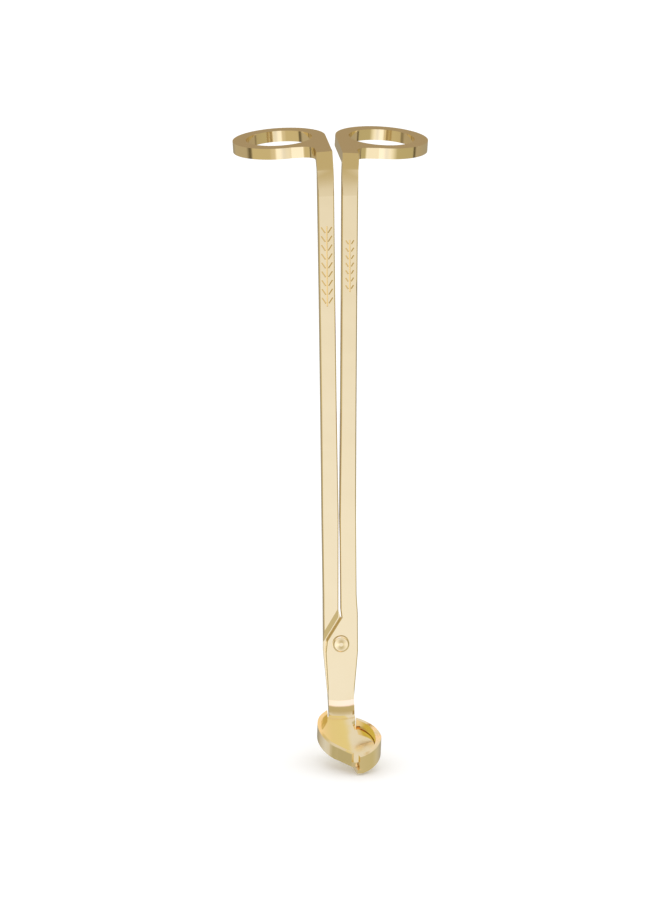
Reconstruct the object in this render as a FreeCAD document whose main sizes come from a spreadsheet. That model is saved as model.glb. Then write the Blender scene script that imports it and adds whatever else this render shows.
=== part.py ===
import FreeCAD, Part
import os
import re
import Sketcher

# Wick trimmer: two forged levers crossing in a half lap on one rivet.
# Frame, millimetres: +Z up the shanks, +X to the right, -Y towards the debris tray, closed.
# The origin is the middle of the closed tool's box. Every shape is drawn about the pivot and
# then placed there. "side" is +1 for the lever whose handle is on the right (front_lever) and
# -1 for the lever whose handle is on the left (rear_lever).

DIMENSIONS = {
    # where the pivot lies in the part's frame
    "pivot_forward": 4.4, "pivot_down": 57.3,
    # bars
    "half_thick": 1.65, "lap_gap": 0.1, "bar_top": 147.2,
    "inner_top": 1.5, "inner_neck": 1.15, "inner_waist": 0.2, "waist_up": 38.0,
    "inner_foot": 0.35, "foot_up": 10.5,
    "outer_top": 5.9, "outer_waist": 4.95, "outer_foot": 4.88, "outer_foot_up": 15.0,
    "outer_lap": 5.05,
    # the forging leans a little to the left, so the two bars are not quite mirror images
    "waist_shift": 0.27, "foot_shift": 0.35, "outer_foot_shift": 0.16, "cross_shift": 0.2,
    "lap_up": 9.0, "neck_half": 3.75, "neck_down": 17.0, "bar_bow": 0.1,
    "edge_round": 0.35,
    # half lap: the crossing bar's diagonal edge and the shoulder beyond it
    "cross_x": 0.1, "cross_up": 7.6, "cross_out": 4.1, "cross_low": 0.45, "heel_out": 4.5,
    "heel_down": 2.6, "shoulder_in": 0.68, "shoulder_up": 8.0, "shoulder_low": 0.7,
    "shoulder_slope": 0.5,
    # the front bends back a little, and then leans back as a flat band up to the crease
    "bend_down": 13.0, "bend_back": 0.45, "bend_bow": 0.11, "lean_down": 4.6, "lean_back": 1.0,
    "flare_out": 0.2, "flare_down": 2.5, "neck_up": 8.0, "spare": 0.6,
    # finger rings, which the two levers carry at slightly different heights and angles
    "ring_radius": 13.48, "hole_radius": 9.6, "ring_thick": 3.2, "web_round": 3.6,
    "right_ring_x": 15.04, "right_ring_y": 19.8, "right_ring_top": 146.5, "right_droop": 3.74,
    "right_pitch": 1.99,
    "left_ring_x": 14.7, "left_ring_y": 21.4, "left_ring_top": 147.1, "left_droop": 3.08,
    "left_pitch": 0.55,
    # tray: the bar kicks forward and rolls over to the crease, and the plates slope from there
    "crease_down": 21.35, "tray_slope": 20.0, "kick_up": 3.8, "kick_lean": 32.0, "tray_reach": 27.0,
    "wall_rise": 2.9, "wall_gap": 0.2,
    # pivot rivet
    "rivet_radius": 1.4, "pivot_clearance": 0.05, "head_radius": 2.5, "head_rim": 0.35,
    "head_rise": 0.85, "head_gap": 0.05, "head_flat": 0.6,
    # engraved sprigs on the shanks: V-shaped cuts, in pairs beside a stem
    "cut_deep": 0.2, "cutter_side": 0.5, "leaf_turn": 33.0, "leaf_root": 0.45, "stem_end": 0.9,
    "left_leaves": 9, "left_leaf": 2.0, "left_step": 2.6, "left_sprig_up": 102.7,
    "right_leaves": 7, "right_leaf": 1.3, "right_step": 2.2, "right_sprig_up": 106.8,
}

doc = FreeCAD.newDocument("wick_trimmer")
sheet = doc.addObject("Spreadsheet::Sheet", "Dims")
for row, (word, value) in enumerate(DIMENSIONS.items(), start=1):
    sheet.set(f"A{row}", word)
    sheet.set(f"B{row}", str(value))
    sheet.setAlias(f"B{row}", word)
doc.recompute()


def bound(text):
    """The text as a FreeCAD expression, with every dimension's name looked up in the sheet."""
    return re.sub(r"[a-z_]+\b(?!\()", lambda m: f"Dims.{m[0]}" if m[0] in DIMENSIONS else m[0], str(text))


def number(text):
    """The value that the expression has now."""
    return float(sheet.evalExpression(bound(text)))


def sketch_on(name, turn_axis, turn, base=("0", "0", "0")):
    """An empty sketch whose plane is XY turned about turn_axis through base."""
    sketch = doc.addObject("Sketcher::SketchObject", name)
    origin = FreeCAD.Vector(*[number(b) for b in base])
    axis = FreeCAD.Vector(*turn_axis)
    sketch.Placement = FreeCAD.Placement(origin, FreeCAD.Rotation(axis, number(turn)))
    sketch.setExpression("Placement.Rotation.Angle", bound(turn))
    for letter, value in zip("xyz", base):
        sketch.setExpression(f"Placement.Base.{letter}", bound(value))
    return sketch


def add_outline(sketch, corners):
    """A closed outline. Each corner is (across, up) or (across, up, bow), where bow is how far
    the side after it bulges to the right of the way it runs (0 is straight)."""
    spots = [(number(c[0]), number(c[1])) for c in corners]
    count = len(corners)
    for i, corner in enumerate(corners):
        start, end = spots[i], spots[(i + 1) % count]
        first, last = (FreeCAD.Vector(*p, 0) for p in (start, end))
        bow = number(corner[2]) if len(corner) > 2 else 0
        if not bow:
            sketch.addGeometry(Part.LineSegment(first, last))
            continue
        along = last - first
        right = FreeCAD.Vector(along.y, -along.x, 0).normalize()
        sketch.addGeometry(Part.Arc(first, (first + last) / 2 + right * bow, last))
    for i, corner in enumerate(corners):
        arc = sketch.Geometry[i].TypeId == "Part::GeomArcOfCircle"
        # an arc is always stored anticlockwise, so one that bows left is held end first
        turned = arc and number(corner[2]) < 0
        spot = 2 if turned else 1
        before = (i - 1) % count
        arc_before = sketch.Geometry[before].TypeId == "Part::GeomArcOfCircle"
        spot_before = 1 if arc_before and number(corners[before][2]) < 0 else 2
        sketch.addConstraint(Sketcher.Constraint("Coincident", before, spot_before, i, spot))
        for kind, text in (("DistanceX", corner[0]), ("DistanceY", corner[1])):
            index = sketch.addConstraint(Sketcher.Constraint(kind, -1, 1, i, spot, number(text)))
            sketch.setExpression(f"Constraints[{index}]", bound(text))
        if arc:
            x2, y2, bow = corners[(i + 1) % count][0], corners[(i + 1) % count][1], corner[2]
            chord = f"(({x2}) - ({corner[0]}))^2 + (({y2}) - ({corner[1]}))^2"
            radius = f"(({chord}) / 4 + ({bow})^2) / (2 * abs({bow}))"
            index = sketch.addConstraint(Sketcher.Constraint("Radius", i, number(radius)))
            sketch.setExpression(f"Constraints[{index}]", bound(radius))


def extruded(name, sketch, direction, forward, backward="0"):
    solid = doc.addObject("Part::Extrusion", name)
    solid.Base = sketch
    solid.DirMode = "Custom"
    solid.Dir = FreeCAD.Vector(*direction)
    solid.Solid = True
    solid.setExpression("LengthFwd", bound(forward))
    solid.setExpression("LengthRev", bound(backward))
    return solid


def boolean(kind, name, *shapes):
    solid = doc.addObject(f"Part::{kind}", name)
    if kind == "Cut":
        solid.Base, solid.Tool = shapes
    else:
        solid.Shapes = list(shapes)
    return solid


def front_outline(name, corners):
    """A sketch in the plane of the shanks, across and up from the pivot."""
    sketch = sketch_on(name, (1, 0, 0), "90")
    add_outline(sketch, corners)
    return sketch


def mirrored(side, corners):
    """The corners as they are for the right-hand handle, or their mirror image."""
    if side > 0:
        return corners
    flipped = [(f"-({c[0]})", c[1]) for c in corners]
    bows = [f"-({c[2]})" if len(c) > 2 else "0" for c in corners]
    return [(*spot, bow) for spot, bow in zip(flipped, bows)]


def handle_corners(side):
    """From the top of the inner edge down to the lap, and back up from the lap outside."""
    down = [("inner_top", "bar_top + spare"), ("inner_neck", "bar_top - neck_up", "-bar_bow"),
            (f"inner_waist - {side} * waist_shift", "waist_up"),
            (f"inner_foot - {side} * foot_shift", "foot_up")]
    up = [("outer_lap", "lap_up"),
          (f"outer_foot - {side} * outer_foot_shift", "outer_foot_up"),
          (f"outer_waist - {side} * waist_shift", "waist_up", "-bar_bow"),
          ("outer_top", "bar_top - ring_thick - flare_down"),
          ("outer_top + flare_out", "bar_top - ring_thick"),
          ("outer_top + flare_out", "bar_top + spare")]
    return down, up


def crossing_half(side, name):
    """The half-thick layer that crosses the pivot to the other side's jaw."""
    down, up = handle_corners(side)
    across = [(f"cross_x + {side} * cross_shift", "cross_up"), ("-cross_out", "cross_low"),
              ("-heel_out", "-heel_down"), ("-neck_half", "-neck_down"),
              ("neck_half", "-neck_down"), ("outer_lap", "-heel_down")]
    outline = front_outline(f"{name}_layer_outline", mirrored(side, down + across + up))
    near, far = ("half_thick", "-lap_gap / 2") if side > 0 else ("-lap_gap / 2", "half_thick")
    return extruded(f"{name}_layer", outline, (0, -1, 0), near, far)


def on_outer_face(edge):
    """Whether the edge lies in the bar's front or back face."""
    box = edge.BoundBox
    return box.YLength < 1e-6 and abs(abs(box.YMin) - number("half_thick")) < 1e-6


def is_diagonal(edge):
    """Whether the edge runs slantwise across the bar, as the lap's two edges do."""
    return edge.BoundBox.XLength > 3 and edge.BoundBox.ZLength > 3


def handle_half(side, name):
    """The other half of the handle's thickness, which ends at a sloping shoulder."""
    down, up = handle_corners(side)
    shoulder = [("shoulder_in", "shoulder_up"), ("outer_lap", "shoulder_low")]
    outline = front_outline(f"{name}_back_outline", mirrored(side, down[:3] + shoulder + up))
    near, far = ("lap_gap / 2", "half_thick") if side > 0 else ("half_thick", "lap_gap / 2")
    blank = extruded(f"{name}_back", outline, (0, -1, 0), near, far)
    doc.recompute()
    slope = doc.addObject("Part::Chamfer", f"{name}_shoulder")
    slope.Base = blank
    sizes = number("shoulder_slope"), number("half_thick - lap_gap")
    slope.Edges = [(index, *sizes) for index, edge in enumerate(blank.Shape.Edges, start=1)
                   if on_outer_face(edge) and is_diagonal(edge)]
    return slope


def leaning_band(name):
    """What is taken off the front of the bar for the bend and the leaning band."""
    sketch = sketch_on(f"{name}_lean_outline", (0, 1, 0), "-90")
    add_outline(sketch, [
        ("bar_top - bend_down", "-half_thick", "bend_bow"),
        ("bar_top - lean_down", "bend_back - half_thick"), ("bar_top", "lean_back - half_thick"),
        ("bar_top + 2", "lean_back - half_thick"), ("bar_top + 2", "-half_thick - 1"),
        ("bar_top - bend_down", "-half_thick - 1")])
    return extruded(f"{name}_lean", sketch, (1, 0, 0), "12", "12")


def tilted(piece, side):
    """Tilt a piece drawn level with the ring's top: back end up, outer side down."""
    hand = "right" if side > 0 else "left"
    pitch = FreeCAD.Rotation(FreeCAD.Vector(1, 0, 0), number(f"{hand}_pitch"))
    droop = FreeCAD.Rotation(FreeCAD.Vector(0, side, 0), number(f"{hand}_droop"))
    hinge = FreeCAD.Vector(side * number("outer_top / 2"), -number("half_thick"),
                           number(f"{hand}_ring_top"))
    turn = droop * pitch
    drawn = piece.Placement
    piece.Placement = FreeCAD.Placement(hinge - turn.multVec(hinge), turn) * drawn
    return piece


def spare_top(side, name):
    """The bar's spare length above the tilted top face of its ring."""
    hand = "right" if side > 0 else "left"
    block = doc.addObject("Part::Box", f"{name}_spare_top")
    block.Length, block.Width, block.Height = 20, 8, 4
    block.Placement.Base = FreeCAD.Vector(-10, -4, number(f"{hand}_ring_top"))
    return tilted(block, side)


def finger_ring(side, name):
    """The ring and the web that joins it to the bar, and the finger hole."""
    hand = "right" if side > 0 else "left"
    base = f"{hand}_ring_top - ring_thick"
    ring_x, ring_y, front = f"{hand}_ring_x", f"{hand}_ring_y", f"{hand}_ring_y - ring_radius"
    web = sketch_on(f"{name}_web_outline", (0, 0, 1), "0", ("0", "0", base))
    add_outline(web, mirrored(side, [
        ("inner_top", "-half_thick + lean_back"),
        ("outer_top + flare_out", "-half_thick + lean_back"),
        ("outer_top + flare_out", f"{front} - web_round", "-0.2929 * web_round"),
        ("outer_top + flare_out + web_round", f"{front} - 0.1"),
        (f"{ring_x} - 1.5", f"{front} + 0.25"), (ring_x, ring_y),
        (f"{ring_x} - ring_radius", ring_y)]))
    plate = extruded(f"{name}_web", web, (0, 0, 1), "ring_thick")
    pieces = []
    for word, radius in (("disc", "ring_radius"), ("finger_hole", "hole_radius")):
        round_piece = doc.addObject("Part::Cylinder", f"{name}_{word}")
        extra = "1" if word == "finger_hole" else "0"
        round_piece.setExpression("Radius", bound(radius))
        round_piece.setExpression("Height", bound(f"ring_thick + 2 * {extra}"))
        round_piece.setExpression("Placement.Base.x", bound(f"{side} * {ring_x}"))
        round_piece.setExpression("Placement.Base.y", bound(ring_y))
        round_piece.setExpression("Placement.Base.z", bound(f"{base} - {extra}"))
        pieces.append(round_piece)
    solid = boolean("MultiFuse", f"{name}_ring_blank", plate, pieces[0])
    return tilted(boolean("Cut", f"{name}_ring", solid, pieces[1]), side)


def swept_strip(name, near, far, start=None):
    """A ring-shaped strip about the pivot's axis that bends forward into the tray. near and far
    are its two faces' distances behind the bar's front face, and start leaves the bar out."""
    sketch = sketch_on(f"{name}_profile", (0, 1, 0), "90")
    # how far along the plate the roll meets it, and how its layers are mitred there
    half_end = "tan(kick_lean / 2)"
    foot = f"(kick_up * {half_end} / (cos(tray_slope) - sin(tray_slope) * {half_end}))"
    mitre, spread = "((90 - tray_slope + kick_lean) / 2)", "((90 - tray_slope - kick_lean) / 2)"

    def face(depth):
        level = f"(({depth}) - half_thick)"
        down = f"(kick_up + {foot} * sin(tray_slope) + ({depth}) * sin({mitre}) / cos({spread}))"
        forward = f"({foot} * cos(tray_slope) + ({depth}) * (1 - cos({mitre}) / cos({spread})))"
        before = ("crease_down - kick_up", level)
        after = (f"crease_down - kick_up + {down}", f"{level} - {forward}")
        tip = (f"crease_down + ({depth}) * tan((90 - tray_slope) / 2) + tray_reach * sin(tray_slope)",
               f"{level} - tray_reach * cos(tray_slope)")
        chord = f"sqrt({down}^2 + {forward}^2)"
        return before, after, tip, level, f"{chord} * ({chord} - {down}) / (2 * {forward})"

    near_before, near_after, near_tip, near_level, near_bow = face(near)
    far_before, far_after, far_tip, far_level, far_bow = face(far)
    if start:
        along = [(f"crease_down + {start} * sin(tray_slope) + ({d}) * cos(tray_slope)",
                  f"-half_thick - {start} * cos(tray_slope) + ({d}) * sin(tray_slope)")
                 for d in (near, far)]
        corners = [along[0], near_tip, far_tip, along[1]]
    else:
        corners = [("neck_down - 2.5", near_level), (*near_before, near_bow), near_after, near_tip,
                   far_tip, (*far_after, f"-({far_bow})"), far_before, ("neck_down - 2.5", far_level)]
    add_outline(sketch, corners)
    strip = doc.addObject("Part::Revolution", name)
    strip.Source = sketch
    strip.Axis = FreeCAD.Vector(0, 1, 0)
    strip.Angle = 110
    strip.Symmetric = True
    strip.Solid = True
    return strip


def tray_prism(name, corners):
    """An outline on the tray's floor, across and forward from the crease, made a tall prism."""
    sketch = sketch_on(f"{name}_outline", (1, 0, 0), "180 + tray_slope",
                       ("0", "-half_thick", "-crease_down"))
    add_outline(sketch, corners)
    solid = extruded(name, sketch, (0, 1, 0), "14", "14")
    solid.DirMode = "Normal"
    return solid


# Tray outlines, (across, forward, bow). The right-hand wall overhangs the left-hand one in front.
LEFT_OUTER = [("-4.6", "2.6"), ("-5.4", "3.6", "-2.85"), ("-5.4", "18.4", "-0.12"),
              ("-3.1", "20.2"), ("0.6", "23.1")]
LEFT_INNER = [("1.25", "22.3"), ("-4.8", "17.5", "2.55"), ("-4.6", "4.4")]
RIGHT_OUTER = [("3.55", "6.4", "1.25"), ("9.75", "17.6", "1.65")]
RIGHT_END = [("2.8", "24.8"), ("2.5", "23.6", "-1.95"), ("8.05", "16.3", "-1.1"), ("3.55", "7.4")]
FRONT_BLADE = [("-neck_half", "-6"), ("-neck_half", "1.4")] + LEFT_OUTER + [
    ("1.7", "23.5", "-1.9"), ("8.05 - wall_gap", "16.3", "-0.95"), ("4.1", "8.3"), ("3.0", "8.5"),
    ("2.6", "4.8"), ("neck_half", "3.8"), ("neck_half", "-6")]
REAR_BLADE = [("neck_half", "-6"), ("neck_half", "4.4")] + RIGHT_OUTER + [
    ("2.2", "25.0"), ("1.2", "21.5", "2.5"), ("-3.5", "5.0"), ("-neck_half", "1.0"),
    ("-neck_half", "-6")]


def jaw(side, name):
    """Half of the tray: a blade swept about the pivot's axis, with its low wall."""
    if side > 0:
        near, far = "0", "half_thick - lap_gap / 2"
        blade, wall = FRONT_BLADE, LEFT_OUTER + LEFT_INNER
    else:
        near, far = "half_thick + lap_gap / 2", "2 * half_thick"
        blade, wall = REAR_BLADE, RIGHT_OUTER + RIGHT_END
    plate = boolean("MultiCommon", f"{name}_blade", swept_strip(f"{name}_blade_strip", near, far),
                    tray_prism(f"{name}_blade_prism", blade))
    band = boolean("MultiCommon", f"{name}_wall",
                   swept_strip(f"{name}_wall_strip", "-wall_rise", far, "-1.5"),
                   tray_prism(f"{name}_wall_prism", wall))
    return plate, band


def sprig(side, name):
    """Cutters for the engraved sprig on the front of the shank: a stem with leaves in pairs."""
    hand = "right" if side > 0 else "left"
    size, turn, root = number("cutter_side"), number("leaf_turn"), number("leaf_root")
    leaf, step, low = number(f"{hand}_leaf"), number(f"{hand}_step"), number(f"{hand}_sprig_up")
    count = int(number(f"{hand}_leaves"))
    stem = (count - 1) * step + leaf + number("stem_end")
    strokes = [(0, low - number("stem_end") + stem / 2, stem, 0)]
    for place_up in range(count):
        for way in (-1, 1):
            tilt = FreeCAD.Rotation(FreeCAD.Vector(0, 1, 0), way * turn)
            reach = tilt.multVec(FreeCAD.Vector(0, 0, leaf / 2))
            strokes.append((way * root + reach.x, low + place_up * step + reach.z, leaf, way * turn))
    # the middle of the bar's face leans inwards on its way down from the neck to the waist
    top = (number("inner_neck + outer_top") / 2, number("bar_top - neck_up"))
    foot = (number(f"inner_waist + outer_waist - {2 * side} * waist_shift") / 2, number("waist_up"))
    cutters = []
    for across, up, length, lean in strokes:
        share = (up - foot[1]) / (top[1] - foot[1])
        middle = side * (foot[0] + share * (top[0] - foot[0]))
        level = -number("half_thick + cutter_side / sqrt(2) - cut_deep")
        cutter = doc.addObject("Part::Box", f"{name}_cutter")
        for word, text in (("Length", "cutter_side"), ("Width", "cutter_side"), ("Height", length)):
            cutter.setExpression(word, bound(text))
        spin = FreeCAD.Placement(FreeCAD.Vector(), FreeCAD.Rotation(FreeCAD.Vector(0, 0, 1), 45))
        cutter.Placement = (
            FreeCAD.Placement(FreeCAD.Vector(middle + across, level, up),
                              FreeCAD.Rotation(FreeCAD.Vector(0, 1, 0), lean))
            * spin * FreeCAD.Placement(FreeCAD.Vector(-size / 2, -size / 2, -length / 2),
                                       FreeCAD.Rotation()))
        cutters.append(cutter)
    bundle = doc.addObject("Part::Compound", f"{name}_sprig")
    bundle.Links = cutters
    return bundle


def pivot_hole(name, radius):
    hole = doc.addObject("Part::Cylinder", f"{name}_pivot_hole")
    hole.setExpression("Radius", bound(radius))
    hole.setExpression("Height", bound("4 * half_thick"))
    hole.Placement.Rotation = FreeCAD.Rotation(FreeCAD.Vector(1, 0, 0), 90)
    hole.setExpression("Placement.Base.y", bound("2 * half_thick"))
    return hole


def place(piece, label):
    piece.Label = label
    piece.setExpression("Placement.Base.y", bound("-pivot_forward"))
    piece.setExpression("Placement.Base.z", bound("-pivot_down"))
    return piece


def outer_edges(shape):
    """The bar's edges on its front and back faces, without its ends and the lap's diagonals."""
    picked = []
    highest = number("bar_top - ring_thick - flare_down") + 0.01
    for index, edge in enumerate(shape.Edges, start=1):
        box = edge.BoundBox
        if on_outer_face(edge) and box.ZLength > 1 and box.ZMax < highest and not is_diagonal(edge):
            picked.append(index)
    return picked


def lever(side, name):
    halves = [crossing_half(side, name), handle_half(side, name)]
    bar = boolean("MultiFuse", f"{name}_bar_blank", *halves)
    bar.Refine = True
    doc.recompute()
    rounded = doc.addObject("Part::Fillet", f"{name}_rounded_bar")
    rounded.Base = bar
    size = number("edge_round")
    rounded.Edges = [(index, size, size) for index in outer_edges(bar.Shape)]
    leaned = boolean("Cut", f"{name}_leaned_bar", rounded, leaning_band(name))
    topped = boolean("Cut", f"{name}_bar", leaned, spare_top(side, name))
    engraved = boolean("Cut", f"{name}_engraved", topped, sprig(side, name))
    joined = boolean("MultiFuse", f"{name}_joined", engraved, finger_ring(side, name),
                     *jaw(side, name))
    joined.Refine = True
    radius = "rivet_radius + pivot_clearance" if side > 0 else "rivet_radius"
    drilled = boolean("Cut", f"{name}_drilled", joined, pivot_hole(name, radius))
    return place(drilled, name)


def pivot_rivet():
    """Shank, domed front head with a little running clearance, and the upset rear head."""
    body = doc.addObject("PartDesign::Body", "rivet_body")
    profile = body.newObject("Sketcher::SketchObject", "rivet_profile")
    plane = next(f for f in body.Origin.OriginFeatures if f.Role == "XY_Plane")
    profile.AttachmentSupport = [(plane, "")]
    profile.MapMode = "FlatFace"
    add_outline(profile, [
        ("0", "-half_thick - head_gap - head_rise"),
        ("head_flat", "-half_thick - head_gap - head_rise", "-0.02"),
        ("head_radius - 0.5", "-half_thick - head_gap - head_rise + 0.12", "-0.1"),
        ("head_radius", "-half_thick - head_gap - head_rim"), ("head_radius", "-half_thick - head_gap"),
        ("rivet_radius", "-half_thick - head_gap"), ("rivet_radius", "half_thick"),
        ("head_radius", "half_thick"), ("head_radius", "half_thick + head_rim", "-0.15"),
        ("head_flat", "half_thick + head_rise"), ("0", "half_thick + head_rise")])
    turned = body.newObject("PartDesign::Revolution", "rivet_turned")
    turned.Profile = profile
    turned.ReferenceAxis = (profile, ["V_Axis"])
    turned.Angle = 360
    return place(body, "pivot_rivet")


pieces = [lever(1, "front_lever"), lever(-1, "rear_lever"), pivot_rivet()]
doc.recompute()

for item in doc.Objects:
    if {"Invalid", "Error"} & set(item.State):
        raise RuntimeError(f"{item.Label} did not compute: {item.State}")
for piece in pieces:
    if piece.Shape.isNull() or not piece.Shape.isValid():
        raise RuntimeError(f"{piece.Label} has no valid shape")

os.makedirs("parts", exist_ok=True)
for piece in pieces:
    piece.Shape.exportStep(f"parts/{piece.Label}.step")
    print(piece.Label, "solids", len(piece.Shape.Solids), "volume", round(piece.Shape.Volume, 1),
          "box", piece.Shape.BoundBox)
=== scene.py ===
"""Looks of the wick trimmer: polished pale-gold plating in a white photographer's tent."""
import math

import bpy
from mathutils import Matrix, Vector


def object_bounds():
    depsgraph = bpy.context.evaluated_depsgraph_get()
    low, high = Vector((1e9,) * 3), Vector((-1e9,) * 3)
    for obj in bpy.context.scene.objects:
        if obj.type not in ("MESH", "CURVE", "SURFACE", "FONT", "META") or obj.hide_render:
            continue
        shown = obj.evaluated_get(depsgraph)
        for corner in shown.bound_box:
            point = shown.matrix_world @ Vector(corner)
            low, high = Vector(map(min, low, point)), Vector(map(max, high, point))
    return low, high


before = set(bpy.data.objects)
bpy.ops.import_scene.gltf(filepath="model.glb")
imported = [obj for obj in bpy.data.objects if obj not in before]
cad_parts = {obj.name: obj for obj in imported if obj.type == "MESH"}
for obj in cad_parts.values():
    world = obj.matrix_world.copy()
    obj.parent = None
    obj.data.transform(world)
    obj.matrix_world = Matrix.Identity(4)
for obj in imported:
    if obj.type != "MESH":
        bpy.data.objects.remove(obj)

cad_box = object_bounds()
cad_low = Vector(cad_box[0])


def node(tree, kind, **values):
    """A shader node with its sockets or settings given by name, or by _number for a socket.

    A value that is itself a socket is linked.
    """
    made = tree.nodes.new(kind)
    for name, value in values.items():
        key = int(name[1:]) if name[0] == "_" else name
        if isinstance(key, int) or key in made.inputs:
            socket = made.inputs[key]
            if isinstance(value, bpy.types.NodeSocket):
                tree.links.new(value, socket)
            else:
                socket.default_value = value
        else:
            setattr(made, name, value)
    return made


def maths(tree, operation, *values):
    """A Math node's result."""
    made = node(tree, "ShaderNodeMath", operation=operation,
                **{f"_{place}": value for place, value in enumerate(values)})
    return made.outputs[0]


def blend(tree, share, first, second):
    """Two colours mixed by share. The Mix node's sockets 6 and 7 are its two colours."""
    made = node(tree, "ShaderNodeMix", data_type="RGBA")
    for place, value in ((0, share), (6, first), (7, second)):
        if isinstance(value, bpy.types.NodeSocket):
            tree.links.new(value, made.inputs[place])
        else:
            made.inputs[place].default_value = (*value, 1)
    return made.outputs[2]


def material_of(name):
    """A new node material, with its tree and its main shader."""
    material = bpy.data.materials.new(name)
    material.use_nodes = True
    return material, material.node_tree, material.node_tree.nodes["Principled BSDF"]


# ---------------------------------------------------------------- camera
VIEW_SIDE = math.radians(-6.0)       # from the left of straight on
VIEW_RISE = math.radians(15.4)       # looking down
VIEW_ROLL = math.radians(-0.38)
VIEW_DISTANCE = 1.5
LENS = 206.9
SENSOR_WIDTH = 36
NEAREST, FARTHEST = 0.05, 30
AIM = Vector((-0.002769, -0.005285, 0.001455))
REFLECTIONS = 12                     # the polished walls mirror each other many times over

back = Vector((math.sin(VIEW_SIDE) * math.cos(VIEW_RISE),
               -math.cos(VIEW_SIDE) * math.cos(VIEW_RISE),
               math.sin(VIEW_RISE)))
level = Vector((math.cos(VIEW_SIDE), math.sin(VIEW_SIDE), 0))
upright = back.cross(level)
right = level * math.cos(VIEW_ROLL) + upright * math.sin(VIEW_ROLL)
up = upright * math.cos(VIEW_ROLL) - level * math.sin(VIEW_ROLL)
scene = bpy.context.scene
camera = bpy.data.objects.new("camera", bpy.data.cameras.new("camera"))
scene.collection.objects.link(camera)
camera.matrix_world = (Matrix.Translation(AIM + back * VIEW_DISTANCE)
                       @ Matrix((right, up, back)).transposed().to_4x4())
camera.data.lens = LENS
camera.data.sensor_width = SENSOR_WIDTH
camera.data.clip_start, camera.data.clip_end = NEAREST, FARTHEST
scene.camera = camera
scene.view_settings.view_transform = "Standard"
scene.cycles.glossy_bounces = REFLECTIONS


# ---------------------------------------------------------------- plating
GOLD = (0.93, 0.80, 0.545)
DEEPER = (0.915, 0.78, 0.51)
CLOUD_SCALE = 70.0           # noise scales are per metre: this one is the uneven colour
HAZE_SCALE = 240.0
WAVE_SCALE = 110.0
BUFFING_SCALE = 2600.0
BUFFING_STRETCH = 0.03       # buffing lines are this many times narrower than long
BUFFING_SHARE = 0.5          # how much the buffing lines add to the haze
SMOOTHEST, DULLEST = 0.05, 0.13
WAVE_STRENGTH, WAVE_HEIGHT = 0.05, 0.001
BUFFING_STRENGTH, BUFFING_HEIGHT = 0.03, 0.00005


def plating(name):
    """Polished pale-gold plating: uneven colour, faint haze, buffing lines, slight waviness."""
    material, tree, shader = material_of(name)
    shader.inputs["Metallic"].default_value = 1.0
    place = node(tree, "ShaderNodeTexCoord").outputs["Object"]

    def noise(scale, detail, where=place):
        made = node(tree, "ShaderNodeTexNoise", Vector=where, Scale=scale, Detail=detail)
        return made.outputs["Fac"]

    tone = blend(tree, noise(CLOUD_SCALE, 3.0), GOLD, DEEPER)
    tree.links.new(tone, shader.inputs["Base Color"])
    haze = noise(HAZE_SCALE, 4.0)
    along = node(tree, "ShaderNodeMapping", Vector=place, Scale=(1.0, 1.0, BUFFING_STRETCH))
    lines = noise(BUFFING_SCALE, 2.0, along.outputs[0])
    uneven = maths(tree, "MULTIPLY_ADD", maths(tree, "SUBTRACT", lines, 0.5), BUFFING_SHARE, haze)
    rough = node(tree, "ShaderNodeMapRange", Value=uneven)
    rough.inputs["To Min"].default_value = SMOOTHEST
    rough.inputs["To Max"].default_value = DULLEST
    tree.links.new(rough.outputs["Result"], shader.inputs["Roughness"])
    wave = node(tree, "ShaderNodeBump", Height=noise(WAVE_SCALE, 1.0),
                Strength=WAVE_STRENGTH, Distance=WAVE_HEIGHT)
    buffed = node(tree, "ShaderNodeBump", Height=lines, Normal=wave.outputs["Normal"],
                  Strength=BUFFING_STRENGTH, Distance=BUFFING_HEIGHT)
    tree.links.new(buffed.outputs["Normal"], shader.inputs["Normal"])
    return material


gold = plating("pale_gold_plating")
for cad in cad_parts.values():
    for slot in cad.material_slots:
        slot.material = gold


# ---------------------------------------------------------------- studio
# What the tent's walls look like from the object. Each ring lists directions and colours:
# azimuth from the front (-Y) towards +X, in degrees, which wraps round at the back (180).
DARK_SEAM = (0.12, 0.10, 0.06)       # narrow dark uprights at the tent's two sides
BACK_WHITE = (0.78, 0.74, 0.70)
YELLOW_SIDE = (0.70, 0.63, 0.18)
AMBER_SIDE = (0.66, 0.55, 0.24)
UPPER_FRONT = (1.22, 1.12, 1.38)
UNDER = (
    (-180, (0.70, 0.70, 0.70)), (-120, (0.74, 0.75, 0.78)), (-100, (0.70, 0.66, 0.58)),
    (-90, (0.50, 0.46, 0.30)), (-30, (0.62, 0.56, 0.42)), (40, (0.62, 0.56, 0.38)),
    (100, (0.58, 0.53, 0.34)), (180, (0.70, 0.70, 0.70)))
LOW_WALL = (
    (-180, (0.36, 0.33, 0.26)), (-158, (0.38, 0.35, 0.27)), (-146, (0.50, 0.44, 0.32)),
    (-96, (0.50, 0.44, 0.32)), (-86, DARK_SEAM), (-81, DARK_SEAM),
    (-76, (0.62, 0.54, 0.34)), (-29, (0.62, 0.54, 0.34)), (-25, (0.71, 0.64, 0.47)),
    (-16, (0.76, 0.68, 0.51)), (-12, (1.26, 1.25, 1.25)), (-2, (1.24, 1.24, 1.30)),
    (6, (0.965, 0.975, 1.04)), (16, (1.07, 1.05, 1.02)), (24, (0.88, 0.84, 0.70)),
    (34, (0.52, 0.465, 0.28)), (80, (0.51, 0.455, 0.275)), (83, DARK_SEAM),
    (87, DARK_SEAM), (92, (0.47, 0.41, 0.30)), (180, (0.36, 0.33, 0.26)))
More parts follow.
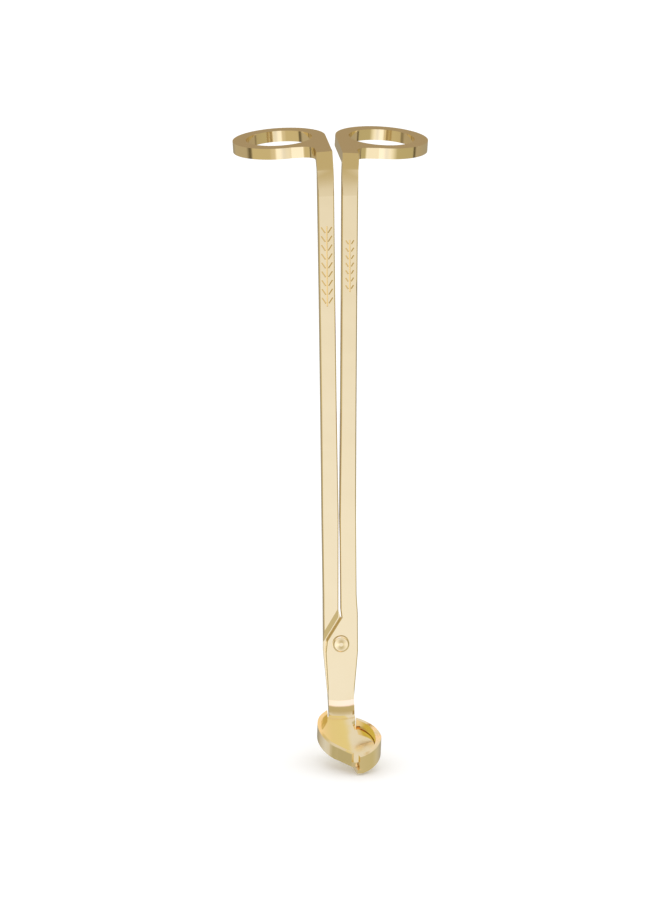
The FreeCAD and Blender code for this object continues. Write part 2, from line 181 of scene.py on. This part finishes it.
MIDDLE_WALL = (
    (-180, (0.40, 0.31, 0.19)), (-90, (0.44, 0.36, 0.23)), (-50, (0.52, 0.45, 0.27)),
    (0, (0.57, 0.49, 0.31)), (50, (0.52, 0.45, 0.27)), (90, (0.44, 0.36, 0.23)),
    (180, (0.40, 0.31, 0.19)))
HIGH_WALL = (
    (-180, BACK_WHITE), (-165, YELLOW_SIDE), (-88, YELLOW_SIDE),
    (-72, (0.90, 0.88, 0.80)), (-40, UPPER_FRONT), (4, UPPER_FRONT),
    (10, (1.22, 1.12, 1.30)), (60, (1.00, 0.92, 0.78)), (85, AMBER_SIDE),
    (150, AMBER_SIDE), (180, BACK_WHITE))
ROOF = (
    (-180, BACK_WHITE), (-165, YELLOW_SIDE), (-88, YELLOW_SIDE),
    (-75, (0.82, 0.82, 0.85)), (-40, (0.90, 1.00, 1.35)), (4, (0.92, 1.05, 1.55)),
    (9, (0.90, 0.93, 0.74)), (60, (0.86, 0.84, 0.74)), (180, BACK_WHITE))
# Each ring above the lowest takes over between two heights, in degrees above level.
UPPER_RINGS = (
    (LOW_WALL, -32.0, -17.0), (MIDDLE_WALL, -19.0, 0.0), (HIGH_WALL, 17.0, 25.0),
    (ROOF, 46.0, 54.0))
WHITE = (1.0, 1.0, 1.0)              # the backdrop, as the camera sees it
FLOOR_LIGHT = (1.2, 1.2, 1.2)        # what the tent gives to matt surfaces


def ring_of(tree, turn, stops):
    """A colour by azimuth, from stops in degrees."""
    made = node(tree, "ShaderNodeValToRGB", Fac=turn)
    marks = made.color_ramp.elements
    marks.remove(marks[1])
    marks[0].position, marks[0].color = (stops[0][0] + 180) / 360, (*stops[0][1], 1)
    for angle, colour in stops[1:]:
        marks.new((angle + 180) / 360).color = (*colour, 1)
    return made.outputs["Color"]


def studio():
    """The tent, by height: a tan underside, a low wall that is bright in front and has a dark
    seam at each side, a tan middle, a bright high front with yellow sides, and a cool roof."""
    world = bpy.data.worlds.new("tent")
    scene.world = world
    world.cycles.sampling_method = "NONE"
    world.use_nodes = True
    tree = world.node_tree
    tree.nodes.clear()
    ray = node(tree, "ShaderNodeTexCoord").outputs["Generated"]
    part = node(tree, "ShaderNodeSeparateXYZ", Vector=ray).outputs
    side = maths(tree, "ARCTAN2", part["X"], maths(tree, "MULTIPLY", part["Y"], -1.0))
    turn = maths(tree, "MULTIPLY_ADD", side, 1 / math.tau, 0.5)
    rise = maths(tree, "MULTIPLY", maths(tree, "ARCSINE", part["Z"]), 180 / math.pi)

    def above(start, end):
        made = node(tree, "ShaderNodeMapRange", interpolation_type="SMOOTHSTEP", Value=rise)
        made.inputs["From Min"].default_value = start
        made.inputs["From Max"].default_value = end
        return made.outputs["Result"]

    tent = ring_of(tree, turn, UNDER)
    for ring, start, end in UPPER_RINGS:
        tent = blend(tree, above(start, end), tent, ring_of(tree, turn, ring))
    rays = node(tree, "ShaderNodeLightPath").outputs
    lit = blend(tree, rays["Is Glossy Ray"], FLOOR_LIGHT, tent)
    seen = blend(tree, rays["Is Camera Ray"], lit, WHITE)
    background = node(tree, "ShaderNodeBackground", Color=seen)
    tree.links.new(background.outputs[0], node(tree, "ShaderNodeOutputWorld").inputs[0])


studio()


# ---------------------------------------------------------------- floor
FLOOR_SIZE = 6.0
FLOOR_DROP = 0.0005          # the paper lies this far under the tray
PAPER = (0.95, 0.95, 0.95, 1)
PAPER_ROUGHNESS = 0.9


def flat_sheet(name, size, z):
    """A level square sheet."""
    mesh = bpy.data.meshes.new(name)
    reach = size / 2
    corners = [(-reach, -reach, z), (reach, -reach, z), (reach, reach, z), (-reach, reach, z)]
    mesh.from_pydata(corners, [], [(0, 1, 2, 3)])
    sheet = bpy.data.objects.new(name, mesh)
    scene.collection.objects.link(sheet)
    return sheet


floor = flat_sheet("floor", FLOOR_SIZE, cad_low.z - FLOOR_DROP)
floor.visible_glossy = False
paper, _, paper_shader = material_of("white_paper")
paper_shader.inputs["Base Color"].default_value = PAPER
paper_shader.inputs["Roughness"].default_value = PAPER_ROUGHNESS
floor.data.materials.append(paper)
